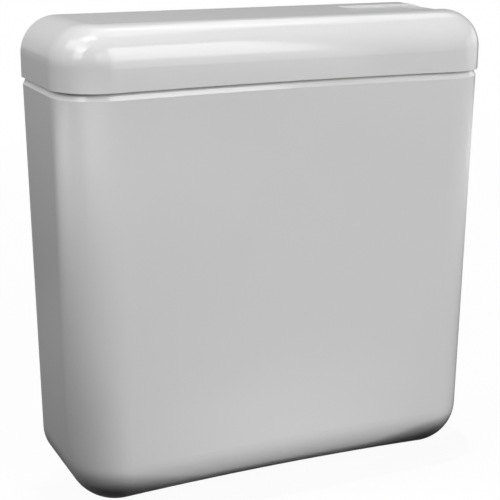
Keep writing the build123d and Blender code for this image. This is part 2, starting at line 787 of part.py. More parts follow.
def make_flush_pipe_nut():
    """A ribbed union nut whose lip holds the cone seal against the spigot."""
    low = base_z - PIPE_NUT_END
    high = base_z + PIPE_NUT_TOP
    bore = SPIGOT_R + THREAD_GAP
    outline = [
        (FLUSH_BORE_R, low),
        (PIPE_NUT_R - PIPE_NUT_RIB_R, low),
        (PIPE_NUT_R - PIPE_NUT_RIB_R, high),
        (bore, high),
        (bore, low + PIPE_NUT_LIP),
        (FLUSH_BORE_R, low + PIPE_NUT_LIP),
    ]
    nut = turned(outline)
    for turn in range(PIPE_NUT_RIBS):
        rib = post(PIPE_NUT_RIB_R, low, high, PIPE_NUT_R - PIPE_NUT_RIB_R)
        nut += Rot(0, 0, turn * 360 / PIPE_NUT_RIBS) * rib
    return at_outlet(nut)


def make_flush_pipe_seal():
    """A rubber cone ring between the union nut's lip and the spigot's end."""
    low = base_z - PIPE_NUT_END + PIPE_NUT_LIP + PIPE_SEAL_GAP
    high = base_z + SPIGOT_END - PIPE_SEAL_GAP
    inner = FLUSH_BORE_R + PIPE_SEAL_GAP
    outer = SPIGOT_R - PIPE_SEAL_GAP
    outline = [
        (inner, low),
        (outer, low),
        (outer, high - PIPE_SEAL_CONE),
        (outer - PIPE_SEAL_CONE, high),
        (inner, high),
    ]
    return at_outlet(turned(outline))


# The flush valve

def make_valve_cage():
    """A base ring, legs and a guide collar that keep the flush tube upright."""
    inner = CAGE_R - CAGE_WALL
    top_low = cage_top_z - CAGE_TOP_T
    shell = post(CAGE_R, cage_z, cage_top_z) - post(inner, cage_z - CUT_OVERRUN, top_low)
    window_z = cage_z + CAGE_BASE_HEIGHT
    legs = None
    for turn in range(CAGE_LEGS // 2):
        pair = box(-CAGE_R, CAGE_R, -CAGE_LEG_WIDTH / 2, CAGE_LEG_WIDTH / 2, window_z, top_low)
        pair = Rot(0, 0, 45 + turn * 90) * pair
        legs = pair if legs is None else legs + pair
    window = post(CAGE_R + CUT_OVERRUN, window_z, top_low) - legs
    cage = shell - window
    collar_r = TUBE_R + TUBE_GUIDE_GAP + CAGE_COLLAR_T
    cage += post(collar_r, top_low, cage_top_z + CAGE_COLLAR_HEIGHT)
    port_circle = (collar_r + inner) / 2
    for turn in range(CAGE_LEGS * 2):
        port = post(CAGE_PORT_R, top_low - CUT_OVERRUN, cage_top_z + CUT_OVERRUN, port_circle)
        cage -= Rot(0, 0, turn * 180 / CAGE_LEGS) * port
    guide_r = TUBE_R + TUBE_GUIDE_GAP
    cage -= post(guide_r, top_low - CUT_OVERRUN, cage_top_z + CAGE_COLLAR_HEIGHT + CUT_OVERRUN)
    return at_outlet(cage)


def make_overflow_tube():
    """The tube that lifts to flush and drains an overfull tank through its bore."""
    tail_z = seal_z - TUBE_TAIL
    foot_top = tube_foot_z + TUBE_FOOT_T
    inner = TUBE_R - TUBE_WALL
    outline = [
        (inner, tail_z),
        (TUBE_R, tail_z),
        (TUBE_R, tube_foot_z),
        (TUBE_FOOT_R, tube_foot_z),
        (TUBE_FOOT_R, foot_top - TUBE_FOOT_T / 2),
        (TUBE_R, foot_top + TUBE_FOOT_T),
        (TUBE_R, tube_top_z),
        (inner, tube_top_z),
    ]
    return at_outlet(turned(outline))


def make_valve_seal():
    inner = TUBE_R + THREAD_GAP
    outline = [(inner, seal_z), (SEAL_R, seal_z), (SEAL_R, tube_foot_z), (inner, tube_foot_z)]
    return at_outlet(turned(outline))


def make_seal_retainer():
    """The ring under the seal that holds it on the tube's tail."""
    low = seal_z - RETAINER_T
    inner = TUBE_R + THREAD_GAP
    outline = [
        (inner, low),
        (RETAINER_R - RETAINER_BEVEL, low),
        (RETAINER_R, seal_z),
        (inner, seal_z),
    ]
    return at_outlet(turned(outline))


def make_valve_float():
    """A hollow float that holds the tube up until the tank has emptied."""
    low = tube_foot_z + VALVE_FLOAT_RISE
    high = low + VALVE_FLOAT_HEIGHT
    inner = TUBE_R + THREAD_GAP
    outline = [
        (inner, low),
        (VALVE_FLOAT_R, low),
        (VALVE_FLOAT_R, high - VALVE_FLOAT_EDGE),
        (VALVE_FLOAT_R - VALVE_FLOAT_EDGE, high),
        (inner, high),
    ]
    return at_outlet(turned(outline))


def make_lift_yoke():
    """A collar on the tube with two legs up to the pins that the lever lifts."""
    inner = TUBE_R + THREAD_GAP
    collar_z = tube_top_z - YOKE_COLLAR_HEIGHT
    tube = post(inner, collar_z - CUT_OVERRUN, tube_top_z + CUT_OVERRUN)
    yoke = post(yoke_half, collar_z, tube_top_z) - tube
    head_top = yoke_pin_z + YOKE_HEAD_HEIGHT / 2
    half = YOKE_LEG_WIDTH / 2
    for side in (-1, 1):
        y_a = side * yoke_half
        y_b = side * (yoke_half - YOKE_LEG_T)
        leg = box(-half, half, min(y_a, y_b), max(y_a, y_b), collar_z, head_top)
        yoke += leg - tube
        y_pin = side * (tine_y + LEVER_TINE_WIDTH + YOKE_PIN_END)
        yoke += bar_y(YOKE_PIN_R, min(y_b, y_pin), max(y_b, y_pin), 0, yoke_pin_z)
    cross_z = yoke_pin_z - YOKE_HEAD_HEIGHT / 2
    cross_half = yoke_half - YOKE_LEG_T / 2
    yoke += box(-half, half, -cross_half, cross_half, cross_z, head_top)
    return at_outlet(yoke)


# The water inlet and the fill valve, turned about the inlet's axis

def at_inlet(solid):
    """Lays a piece that was turned about Z along the inlet, its height along X."""
    return Pos(0, inlet_y, inlet_z) * Rot(0, 90, 0) * solid


def make_fill_valve_body():
    """The threaded shank with its tail, the flange, the barrel and the nozzle's chamber."""
    tip_x = inlet_seat_x + SHANK_OUT
    tail_x = inlet_seat_x + INLET_NUT_T + SHANK_THREAD_END
    nozzle_x = head_face_x + NOZZLE_SETBACK
    chamber_x = head_face_x + CHAMBER_DEPTH
    annulus_x = head_face_x + ANNULUS_DEPTH
    outline = [
        (SHANK_BORE_R, tip_x),
        (SHANK_R, tip_x),
        (SHANK_R, tail_x),
        (SHANK_THREAD_R, tail_x),
        (SHANK_THREAD_R, fill_flange_x),
        (FILL_FLANGE_R, fill_flange_x),
        (FILL_FLANGE_R, barrel_x),
        (BARREL_R, barrel_x),
        (BARREL_R, head_x),
        (HEAD_R, head_x),
        (HEAD_R, head_face_x),
        (CHAMBER_R, head_face_x),
        (CHAMBER_R, chamber_x),
        (ANNULUS_R, chamber_x),
        (ANNULUS_R, annulus_x),
        (NOZZLE_R, annulus_x),
        (NOZZLE_R, nozzle_x),
        (NOZZLE_BORE_R, nozzle_x),
        (NOZZLE_BORE_R, fill_flange_x),
        (SHANK_BORE_R, fill_flange_x),
    ]
    body = at_inlet(turned(outline))
    # A boss under the barrel takes the drop tube
    boss_z = inlet_z - DROP_BOSS_LENGTH
    boss = post(DROP_BOSS_R, boss_z, inlet_z, drop_x, inlet_y)
    boss -= bar_x(ANNULUS_R, head_x, barrel_x + CUT_OVERRUN, inlet_y, inlet_z)
    body += boss
    bore_r = DROP_TUBE_R + DROP_TUBE_GAP
    seat_z = boss_z + DROP_TUBE_SEAT
    body -= post(bore_r, boss_z - CUT_OVERRUN, seat_z, drop_x, inlet_y)
    neck_r = DROP_TUBE_R - DROP_TUBE_WALL
    neck = post(neck_r, seat_z - CUT_OVERRUN, inlet_z - NOZZLE_R, drop_x, inlet_y)
    return body - neck


def make_inlet_washer():
    inner = SHANK_THREAD_R + THREAD_GAP
    outline = [
        (inner, fill_flange_x),
        (FILL_FLANGE_R, fill_flange_x),
        (FILL_FLANGE_R, inlet_inner_x),
        (inner, inlet_inner_x),
    ]
    return at_inlet(turned(outline))


def make_inlet_backnut():
    hexagon = RegularPolygon(INLET_NUT_FLATS / 2, 6, major_radius=False)
    nut = extrude(hexagon - Circle(SHANK_THREAD_R + THREAD_GAP), amount=INLET_NUT_T)
    return at_inlet(Pos(0, 0, inlet_seat_x) * nut)


def make_inlet_filter():
    """A slotted basket in the shank's mouth that keeps grit out of the nozzle."""
    tip_x = inlet_seat_x + SHANK_OUT
    low = tip_x - FILTER_LENGTH
    inner = FILTER_R - FILTER_WALL
    outline = [
        (0, low),
        (FILTER_R, low),
        (FILTER_R, tip_x),
        (SHANK_R - FILTER_WALL, tip_x),
        (SHANK_R - FILTER_WALL, tip_x + FILTER_LIP_T),
        (inner, tip_x + FILTER_LIP_T),
        (inner, low + FILTER_WALL),
        (0, low + FILTER_WALL),
    ]
    basket = turned(outline)
    slot_z = low + FILTER_WALL * 2
    for turn in range(FILTER_SLOTS // 2):
        half = FILTER_SLOT_WIDTH / 2
        slot = box(-SHANK_R, SHANK_R, -half, half, slot_z, slot_z + FILTER_SLOT_LENGTH)
        basket -= Rot(0, 0, turn * 360 / FILTER_SLOTS) * slot
    return at_inlet(basket)


def make_fill_valve_diaphragm():
    """A rubber disc whose middle closes the nozzle when the plunger is pushed in."""
    outline = [
        (0, cap_inner_x),
        (DIAPHRAGM_R, cap_inner_x),
        (DIAPHRAGM_R, head_face_x),
        (DIAPHRAGM_BOSS_R, head_face_x),
        (DIAPHRAGM_BOSS_R, head_face_x + DIAPHRAGM_BOSS_T),
        (0, head_face_x + DIAPHRAGM_BOSS_T),
    ]
    return at_inlet(turned(outline))


def make_fill_valve_cap():
    """The ribbed cap nut over the diaphragm, with a plunger bore and the arm's ears."""
    outer = HEAD_R + CAP_GAP + CAP_WALL
    grip_x = head_face_x + CAP_GRIP
    bore = PLUNGER_R + PLUNGER_GAP
    outline = [
        (bore, cap_face_x),
        (outer, cap_face_x),
        (outer, grip_x),
        (HEAD_R + CAP_GAP, grip_x),
        (HEAD_R + CAP_GAP, cap_inner_x),
        (bore, cap_inner_x),
    ]
    cap = turned(outline)
    for turn in range(CAP_RIBS):
        rib = post(CAP_RIB_R, cap_face_x, grip_x, outer)
        cap += Rot(0, 0, turn * 360 / CAP_RIBS) * rib
    cap = at_inlet(cap)
    ear_in = ARM_HUB_WIDTH / 2 + ARM_EAR_GAP
    root_x = cap_face_x + CAP_FACE_T / 2
    for side in (-1, 1):
        y_a = inlet_y + side * ear_in
        y_b = inlet_y + side * (ear_in + ARM_EAR_T)
        low_y = min(y_a, y_b)
        high_y = max(y_a, y_b)
        ear_low = arm_pin_z - ARM_EAR_R
        ear_top = arm_pin_z + ARM_EAR_R
        cap += box(arm_pin_x, root_x, low_y, high_y, ear_low, ear_top)
        cap += bar_y(ARM_EAR_R, low_y, high_y, arm_pin_x, arm_pin_z)
    reach = ARM_HUB_WIDTH + ARM_EAR_T
    return cap - bar_y(ARM_PIN_R, inlet_y - reach, inlet_y + reach, arm_pin_x, arm_pin_z)


def make_fill_plunger():
    """The push rod between the float arm's heel and the diaphragm."""
    nose_x = plunger_x - PLUNGER_BODY
    outline = [
        (0, plunger_tip_x + PLUNGER_NOSE_R),
        (PLUNGER_NOSE_R, plunger_tip_x + PLUNGER_NOSE_R),
        (PLUNGER_NOSE_R, nose_x),
        (PLUNGER_R, nose_x),
        (PLUNGER_R, plunger_x),
        (0, plunger_x),
    ]
    nose = Pos(0, 0, plunger_tip_x + PLUNGER_NOSE_R) * Sphere(PLUNGER_NOSE_R)
    rod = turned(outline) + nose
    return at_inlet(Pos(0, 0, -PLUNGER_STROKE) * rod)


def make_drop_tube():
    """The tube that leads the filling water down quietly, below the water line."""
    top = inlet_z - DROP_BOSS_LENGTH + DROP_TUBE_SEAT - DROP_TUBE_GAP
    low = base_z + DROP_TUBE_FLOOR_GAP
    bore_r = DROP_TUBE_R - DROP_TUBE_WALL
    bore = post(bore_r, low - CUT_OVERRUN, top + CUT_OVERRUN, drop_x, inlet_y)
    return post(DROP_TUBE_R, low, top, drop_x, inlet_y) - bore


# The float arm and the float, drawn as in a full tank and hung as in an empty one

def hung(solid):
    """Turns a piece about the arm's pin to where it hangs with no water under it."""
    pin = Axis((arm_pin_x, inlet_y, arm_pin_z), (0, 1, 0))
    return solid.rotate(pin, -FLOAT_HANG)


def make_arm_pin():
    reach = ARM_HUB_WIDTH / 2 + ARM_EAR_GAP + ARM_EAR_T
    return bar_y(ARM_PIN_R, inlet_y - reach, inlet_y + reach, arm_pin_x, arm_pin_z)


def make_float_arm():
    """An arm whose heel pushes the plunger and whose eye holds the float's stem."""
    half = ARM_HUB_WIDTH / 2
    y0 = inlet_y - half
    y1 = inlet_y + half
    arm = bar_y(ARM_HUB_R, y0, y1, arm_pin_x, arm_pin_z)
    heel_top = inlet_z + ARM_HEEL_OVER
    arm += box(arm_pin_x - ARM_HEEL_T, arm_pin_x + ARM_HEEL_T, y0, y1, arm_pin_z, heel_top)
    beam_half = ARM_WIDTH / 2
    beam = [
        (arm_pin_x, arm_pin_z - ARM_DEPTH / 2),
        (arm_pin_x, heel_top),
        (arm_pin_x - ARM_HEEL_T * 2, heel_top),
        (arm_pin_x - ARM_REACH / 2, arm_pin_z + ARM_DEPTH / 2),
        (stem_x, arm_pin_z + ARM_DEPTH / 2),
        (stem_x, arm_pin_z - ARM_DEPTH / 2),
    ]
    arm += side_cut(beam, inlet_y - beam_half, inlet_y + beam_half)
    eye_low = arm_pin_z - ARM_EYE_T / 2
    eye_top = arm_pin_z + ARM_EYE_T / 2
    arm += post(ARM_EYE_R, eye_low, eye_top, stem_x, inlet_y)
    bore_r = STEM_R + STEM_GAP
    arm -= post(bore_r, eye_low - CUT_OVERRUN, eye_top + CUT_OVERRUN, stem_x, inlet_y)
    reach = ARM_HUB_WIDTH
    arm -= bar_y(ARM_PIN_R + PIN_GAP, inlet_y - reach, inlet_y + reach, arm_pin_x, arm_pin_z)
    return hung(arm)


def make_float_stem():
    """The rod that turns in the arm's eye between its knob and a collar to set the float."""
    top = arm_pin_z + ARM_EYE_T / 2 + STEM_GAP
    low = arm_pin_z - ARM_EYE_T / 2 - STEM_GAP
    stem = post(STEM_R, float_base_z + FLOAT_NUT_T, top, stem_x, inlet_y)
    stem += post(STEM_COLLAR_R, low - STEM_COLLAR_T, low, stem_x, inlet_y)
    stem += post(KNOB_R, top, top + KNOB_T, stem_x, inlet_y)
    for turn in range(KNOB_RIBS):
        angle = turn * 2 * pi / KNOB_RIBS
        rib_x = stem_x + KNOB_R * cos(angle)
        stem += post(KNOB_RIB_R, top, top + KNOB_T, rib_x, inlet_y + KNOB_R * sin(angle))
    return hung(stem)


def make_float():
    """A hollow cup float with rounded edges and a bore for its stem."""
    can = fillet(Cylinder(FLOAT_R, FLOAT_HEIGHT).edges(), FLOAT_EDGE_R)
    can = Pos(stem_x, inlet_y, (float_top_z + float_base_z) / 2) * can
    bore_r = STEM_R + FLOAT_BORE_GAP
    can -= post(bore_r, float_base_z - CUT_OVERRUN, float_top_z + CUT_OVERRUN, stem_x, inlet_y)
    return hung(can)


def make_float_nut():
    """The nut on the stem's thread that sits on the float and carries it up and down."""
    high = float_top_z + FLOAT_NUT_T
    bore_r = STEM_R + THREAD_GAP
    bore = post(bore_r, float_top_z - CUT_OVERRUN, high + CUT_OVERRUN, stem_x, inlet_y)
    return hung(post(FLOAT_NUT_R, float_top_z, high, stem_x, inlet_y) - bore)


PIECES = {
    "tank": make_tank,
    "lid": make_lid,
    "flush_key": make_flush_key,
    "key_pin": make_key_pin,
    "key_spring": make_key_spring,
    "lift_lever": make_lift_lever,
    "lever_bridge": make_lever_bridge,
    "lever_pin": make_lever_pin,
    "outlet_body": make_outlet_body,
    "outlet_washer": make_outlet_washer,
    "outlet_backnut": make_outlet_backnut,
    "flush_pipe_nut": make_flush_pipe_nut,
    "flush_pipe_seal": make_flush_pipe_seal,
    "valve_cage": make_valve_cage,
    "overflow_tube": make_overflow_tube,
    "valve_seal": make_valve_seal,
    "seal_retainer": make_seal_retainer,
    "valve_float": make_valve_float,
    "lift_yoke": make_lift_yoke,
    "fill_valve_body": make_fill_valve_body,
    "inlet_washer": make_inlet_washer,
    "inlet_backnut": make_inlet_backnut,
    "inlet_filter": make_inlet_filter,
    "fill_valve_diaphragm": make_fill_valve_diaphragm,
    "fill_valve_cap": make_fill_valve_cap,
    "fill_plunger": make_fill_plunger,
    "drop_tube": make_drop_tube,
    "arm_pin": make_arm_pin,
    "float_arm": make_float_arm,
    "float_stem": make_float_stem,
    "float": make_float,
    "float_nut": make_float_nut,
}

os.makedirs("parts", exist_ok=True)
for name, make in PIECES.items():
    export_step(make(), f"parts/{name}.step")
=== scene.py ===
import math

import bmesh
import bpy
from mathutils import Matrix, Vector


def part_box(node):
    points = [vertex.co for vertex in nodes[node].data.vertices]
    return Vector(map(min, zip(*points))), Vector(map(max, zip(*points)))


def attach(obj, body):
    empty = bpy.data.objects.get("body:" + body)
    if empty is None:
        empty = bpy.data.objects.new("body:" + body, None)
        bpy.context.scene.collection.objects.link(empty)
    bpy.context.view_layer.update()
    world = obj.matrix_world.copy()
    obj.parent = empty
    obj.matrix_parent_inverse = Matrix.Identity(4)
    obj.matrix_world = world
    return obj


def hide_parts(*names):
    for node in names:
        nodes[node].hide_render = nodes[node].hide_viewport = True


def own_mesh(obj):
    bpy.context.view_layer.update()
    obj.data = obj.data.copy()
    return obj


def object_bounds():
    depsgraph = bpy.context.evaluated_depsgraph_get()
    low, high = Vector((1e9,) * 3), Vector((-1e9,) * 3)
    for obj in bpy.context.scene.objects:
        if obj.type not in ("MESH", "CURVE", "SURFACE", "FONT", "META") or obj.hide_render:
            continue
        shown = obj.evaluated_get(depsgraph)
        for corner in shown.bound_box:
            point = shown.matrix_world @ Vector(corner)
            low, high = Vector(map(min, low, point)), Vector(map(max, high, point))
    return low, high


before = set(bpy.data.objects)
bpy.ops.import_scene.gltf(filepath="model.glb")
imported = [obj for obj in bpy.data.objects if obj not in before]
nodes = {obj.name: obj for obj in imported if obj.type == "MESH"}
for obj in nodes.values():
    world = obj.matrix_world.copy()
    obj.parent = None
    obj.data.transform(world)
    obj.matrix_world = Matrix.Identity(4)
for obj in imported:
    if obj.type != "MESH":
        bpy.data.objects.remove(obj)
cad_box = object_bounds()


# Camera
# It stands to the left of the front and a little above the lid, as the photograph was taken,
# and its lens is long, so that the tank's upright edges lean in only slightly.
CAMERA_SPOT = (-0.4689, -1.0624, 0.2044)
CAMERA_YAW = 24.505
CAMERA_PITCH = 15.503
CAMERA_ROLL = 0.148
SENSOR_WIDTH = 36.0
LENS = 93.19

camera = bpy.data.objects.new("camera", bpy.data.cameras.new("camera"))
bpy.context.scene.collection.objects.link(camera)
bpy.context.scene.camera = camera
camera.location = CAMERA_SPOT
camera.data.sensor_width = SENSOR_WIDTH
camera.data.lens = LENS
yaw = Matrix.Rotation(math.radians(-CAMERA_YAW), 4, "Z")
pitch = Matrix.Rotation(math.radians(90 - CAMERA_PITCH), 4, "X")
roll = Matrix.Rotation(math.radians(CAMERA_ROLL), 4, "Z")
camera.rotation_euler = (yaw @ pitch @ roll).to_euler()


# Floor and white surround
# A pale studio floor that the eye sees as white, whiter still further off, with the cistern's
# soft shadow left on it. The white surround shows faintly in the gloss of the plastic, and so
# do glowing pools painted onto the floor to the left and right, which only the gloss sees.
FLOOR_SIZE = 40.0
FLOOR_DROP = 0.0002
FLOOR_DARK = (0.05, 0.05, 0.05)
FLOOR_PALE = (0.9, 0.9, 0.9)
GLOSS_SEEN = 0.34

# How white the floor looks by the cistern, what each metre adds, and how white it ends.
FLOOR_SEEN = 0.95
FLOOR_FADE = 0.02
FLOOR_FAR = 0.995

# Each painted glow pool's middle, reach and glow, seen only in the gloss. From POOL_CLEAR inwards
# the pools fade to nothing.
PAINTED_GLOW_POOLS = (
    ((-1.2, -1.2, 0), 2.0, 3.6),
    ((-1.6, 0.45, 0), 1.05, 2.8),
    ((1.5, 0.4, 0), 1.6, 1.2),
)
POOL_CLEAR = 1.5


class Signal:
    """A value, colour or vector in a material's nodes. A sum of values adds its Math nodes."""

    def __init__(self, tree, socket=None):
        self.tree = tree
        self.socket = socket

    def node(self, kind, settings=None, inputs=None, output=0):
        """Adds a node, sets its settings and then the values or links of its sockets."""
        made = self.tree.nodes.new(kind)
        for name, value in (settings or {}).items():
            setattr(made, name, value)
        for name, value in (inputs or {}).items():
            if isinstance(value, Signal):
                self.tree.links.new(value.socket, made.inputs[name])
            else:
                made.inputs[name].default_value = value
        return Signal(self.tree, made.outputs[output])

    def into(self, shader, name):
        """Links this signal to a socket of a shader that already stands."""
        self.tree.links.new(self.socket, shader.inputs[name])

    def between(self, low, high):
        """The colour that lies this far on the way from one colour to another."""
        # A Mix node has its factor at 0, its two colours at 6 and 7, and the mixed colour at 2.
        ends = {0: self, 6: (*low, 1), 7: (*high, 1)}
        return self.node("ShaderNodeMix", {"data_type": "RGBA"}, ends, 2)

    def maths(self, operation, first, second):
        return self.node("ShaderNodeMath", {"operation": operation}, {0: first, 1: second})

    def __add__(self, other):
        return self.maths("ADD", self, other)

    def __sub__(self, other):
        return self.maths("SUBTRACT", self, other)

    def __rsub__(self, other):
        return self.maths("SUBTRACT", other, self)

    def __mul__(self, other):
        return self.maths("MULTIPLY", self, other)

    def __pow__(self, other):
        return self.maths("POWER", self, other)

    __radd__ = __add__
    __rmul__ = __mul__


def surface(name):
    """A new material, its wrapped node tree and the shader that its surface starts with."""
    material = bpy.data.materials.new(name)
    material.use_nodes = True
    shader = material.node_tree.nodes["Principled BSDF"]
    return material, Signal(material.node_tree), shader


def matt(shader):
    """Takes the gloss off a surface."""
    shader.inputs["Roughness"].default_value = 1.0
    shader.inputs["Specular IOR Level"].default_value = 0.0


bpy.ops.mesh.primitive_plane_add(size=FLOOR_SIZE, location=(0, 0, cad_box[0].z - FLOOR_DROP))
floor = bpy.context.object
floor.name = "studio_floor"
floor_finish, paint, shader = surface("floor_paint")
matt(shader)
seen = paint.node("ShaderNodeLightPath", output="Is Camera Ray")
seen.between(FLOOR_DARK, FLOOR_PALE).into(shader, "Base Color")
spot = paint.node("ShaderNodeTexCoord", output="Object")
distance = paint.node("ShaderNodeVectorMath", {"operation": "LENGTH"}, {0: spot}, "Value")
share = paint.maths("MINIMUM", distance * FLOOR_FADE + FLOOR_SEEN, FLOOR_FAR)
in_gloss = paint.node("ShaderNodeLightPath", output="Is Glossy Ray")
# Painted glow: pools that shine on the floor for glossy rays only and light nothing else.
painted_glow = 0
for middle, reach, glow in PAINTED_GLOW_POOLS:
    points = {0: spot, 1: middle}
    away = paint.node("ShaderNodeVectorMath", {"operation": "DISTANCE"}, points, "Value")
    painted_glow += paint.maths("MAXIMUM", glow - away * (glow / reach), 0)
clear = paint.maths("MINIMUM", distance * (1 / POOL_CLEAR), 1)
shining = {"Strength": seen + in_gloss * painted_glow * clear}
mixed = paint.node("ShaderNodeMixShader", None, {
    0: seen * share + in_gloss,
    1: Signal(paint.tree, shader.outputs[0]),
    2: paint.node("ShaderNodeEmission", None, shining),
})
mixed.into(floor_finish.node_tree.nodes["Material Output"], "Surface")
floor.data.materials.append(floor_finish)

world = bpy.data.worlds.new("surround")
bpy.context.scene.world = world
world.use_nodes = True
sky = Signal(world.node_tree)
seen = sky.node("ShaderNodeLightPath", output="Is Camera Ray")
in_gloss = sky.node("ShaderNodeLightPath", output="Is Glossy Ray")
in_glass = sky.node("ShaderNodeLightPath", output="Is Transmission Ray")
backdrop = world.node_tree.nodes["Background"]
backdrop.inputs["Color"].default_value = (1, 1, 1, 1)
(seen + in_gloss * GLOSS_SEEN + in_glass).into(backdrop, "Strength")


# Black flags
# A low strip of black cloth stands round the cistern's foot, and a taller card stands off its
# left front corner. Both are out of the picture, as a photographer sets them to keep the lower
# edges of a white object from melting into a white floor.
FLAG_BLACK = (0.004, 0.004, 0.004, 1)
FLAG_GAP = 0.011
FLAG_BACK = 0.03
FLAG_CORNER = 0.055
FLAG_STEPS = 12
CARD_HEIGHT = 0.2
CARD_ENDS = ((-0.298, -0.158), (-0.205, -0.24))

# The strip is full height round the corners and dips in the middle of the front.
FLAG_HEIGHT = 0.039
FLAG_DIP = 0.023
FLAG_DIP_TO = 0.08

flag_cloth, _, shader = surface("flag_cloth")
shader.inputs["Base Color"].default_value = FLAG_BLACK
matt(shader)


def placed(name, shape):
    """Puts a finished bmesh into the scene as an object."""
    mesh = bpy.data.meshes.new(name)
    shape.to_mesh(mesh)
    shape.free()
    made = bpy.data.objects.new(name, mesh)
    bpy.context.scene.collection.objects.link(made)
    return made


def flag(name, path):
    """Black cloth that stands on the floor along a path, with a height at each point."""
    cloth = bmesh.new()
    ground = floor.location.z
    low = [cloth.verts.new((x, y, ground)) for x, y, height in path]
    high = [cloth.verts.new((x, y, ground + height)) for x, y, height in path]
    for corner in range(len(path) - 1):
        cloth.faces.new((low[corner], low[corner + 1], high[corner + 1], high[corner]))
    made = placed(name, cloth)
    made.visible_camera = False
    made.data.materials.append(flag_cloth)
    return made


tank_low, tank_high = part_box("tank")
flag_x = tank_high.x + FLAG_GAP
flag_y = tank_low.y - FLAG_GAP
right_half = [(FLAG_DIP_TO, flag_y, FLAG_DIP)]
for step in range(FLAG_STEPS + 1):
    angle = math.pi / 2 * step / FLAG_STEPS
    turn_x = flag_x - FLAG_CORNER * (1 - math.sin(angle))
    turn_y = flag_y + FLAG_CORNER * (1 - math.cos(angle))
    right_half.append((turn_x, turn_y, FLAG_HEIGHT))
right_half.append((flag_x, -FLAG_BACK, FLAG_HEIGHT))
flag("foot_flag", [(-x, y, height) for x, y, height in reversed(right_half)] + right_half)
corner_card = flag("corner_card", [(x, y, CARD_HEIGHT) for x, y in CARD_ENDS])
corner_card.visible_glossy = False


# Softboxes
# Large soft lamps ring the cistern. Azimuth 0 is straight in front of it, and the angle grows
# towards its right end. Those that would burn white in the gloss of the lid are kept out of it.
LAMP_AIM = Vector((0, -0.06, -0.05))
FOOT_AIM = Vector((0, -0.06, -0.285))


def softbox(name, azimuth, rise, away, width, height, watts, in_gloss=True, aim=LAMP_AIM):
    """A soft rectangular lamp that faces the middle of the cistern, or its foot."""
    data = bpy.data.lights.new(name, "AREA")
    data.shape = "RECTANGLE"
    data.size = width
    data.size_y = height
    data.energy = watts
    made = bpy.data.objects.new(name, data)
    side, lift = math.radians(azimuth), math.radians(rise)
    level = away * math.cos(lift)
    made.location = (level * math.sin(side), -level * math.cos(side), away * math.sin(lift))
    made.rotation_euler = (made.location - aim).to_track_quat("Z", "Y").to_euler()
    made.visible_camera = False
    made.visible_glossy = in_gloss
    bpy.context.scene.collection.objects.link(made)


# Azimuth and rise are in degrees, then come the distance, the width and the height in metres.
softbox("front_key", 15, 33, 2.4, 1.1, 1.5, 24.0)
softbox("front_fill", -15, 27, 2.4, 1.1, 0.92, 5.7)
softbox("front_low", 15, 5, 2.4, 1.25, 0.92, 6.8)
softbox("foot_strip", -2, -46.5, 0.3926, 0.22, 0.02, 0.055, in_gloss=False, aim=FOOT_AIM)
softbox("right_front", 45, 27, 2.4, 1.1, 0.92, 6.2, in_gloss=False)
softbox("right_front_low", 45, 5, 2.4, 1.25, 0.92, 7.9, in_gloss=False)
softbox("right_low", 90, 5, 2.4, 2.4, 0.92, 7.7)
softbox("left_front", -68, 32, 1.1, 0.3, 0.55, 1.8)
softbox("left_low", -100, 20, 1.1, 0.5, 0.4, 1.7, in_gloss=False)
softbox("left_high", -82, 45, 1.1, 0.8, 0.4, 2.7)
softbox("left_top", -90, 71, 2.4, 0.82, 0.92, 9.6)
softbox("back_top", 150, 71, 2.4, 1.3, 1.3, 7.4)
softbox("back_high", 135, 49, 2.4, 1.2, 1.2, 6.0)
softbox("back_fill", 180, 0, 2.4, 2.2, 0.5, 16.0, in_gloss=False)
bpy.context.scene.view_settings.view_transform = "Standard"


# Tank
# One thin-walled white polystyrene tub, injection moulded with large soft corners. Its outside
# is polished, with the faint orange peel and flow shade that a big moulding keeps.
SHELL_WHITE = (0.7, 0.7, 0.7)
SHELL_POLISH = 0.11
SHELL_PEEL = 0.00001
PEEL_SCALE = 240.0
SPECK_FINER = 9
SPECK_SHARE = 0.15
FLOW_SCALE = 14.0
FLOW_DETAIL = 3.0
FLOW_SHADE = 0.015
POLISH_STRAY = 0.03


def noise(spot, scale, detail=2.0):
    """A soft mottle of about so many blots to the metre."""
    inputs = {"Vector": spot, "Scale": scale, "Detail": detail}
    return spot.node("ShaderNodeTexNoise", None, inputs)


def shade(colour, share):
    """A colour made darker or paler."""
    return [share * tone for tone in colour]


def relief(height, depth, shader):
    """Lets a pattern stand out of a surface by so many metres."""
    bump = height.node("ShaderNodeBump", None, {"Distance": depth, "Height": height})
    bump.into(shader, "Normal")


def moulded(name, colour, polish, peel, peel_scale=PEEL_SCALE):
    """A moulded plastic: faint flow shade, polish that varies a little and an orange peel."""
    material, plastic, shader = surface(name)
    spot = plastic.node("ShaderNodeTexCoord", output="Object")
    flow = noise(spot, FLOW_SCALE, FLOW_DETAIL)
    skin = noise(spot, peel_scale)
    speck = noise(spot, peel_scale * SPECK_FINER)
    tint = flow.between(shade(colour, 1 - FLOW_SHADE), shade(colour, 1 + FLOW_SHADE))
    tint.into(shader, "Base Color")
    polished = flow * POLISH_STRAY + speck * POLISH_STRAY + (polish - POLISH_STRAY)
    polished.into(shader, "Roughness")
    relief(skin + speck * SPECK_SHARE, peel, shader)
    return material


def dress(finish, *names):
    """Gives one finish to the named CAD pieces."""
    for name in names:
        nodes[name].data.materials.clear()
        nodes[name].data.materials.append(finish)


dress(moulded("tank_polystyrene", SHELL_WHITE, SHELL_POLISH, SHELL_PEEL), "tank")


# Lid and flush key
# Both are moulded in the tank's white polystyrene. The lid drops over the rim, and the key lies
# in the lid's pocket on a hinge at its left end, so that its free end tips down.
dress(moulded("lid_polystyrene", SHELL_WHITE, SHELL_POLISH, SHELL_PEEL), "lid")
dress(moulded("key_polystyrene", SHELL_WHITE, SHELL_POLISH, SHELL_PEEL), "flush_key")
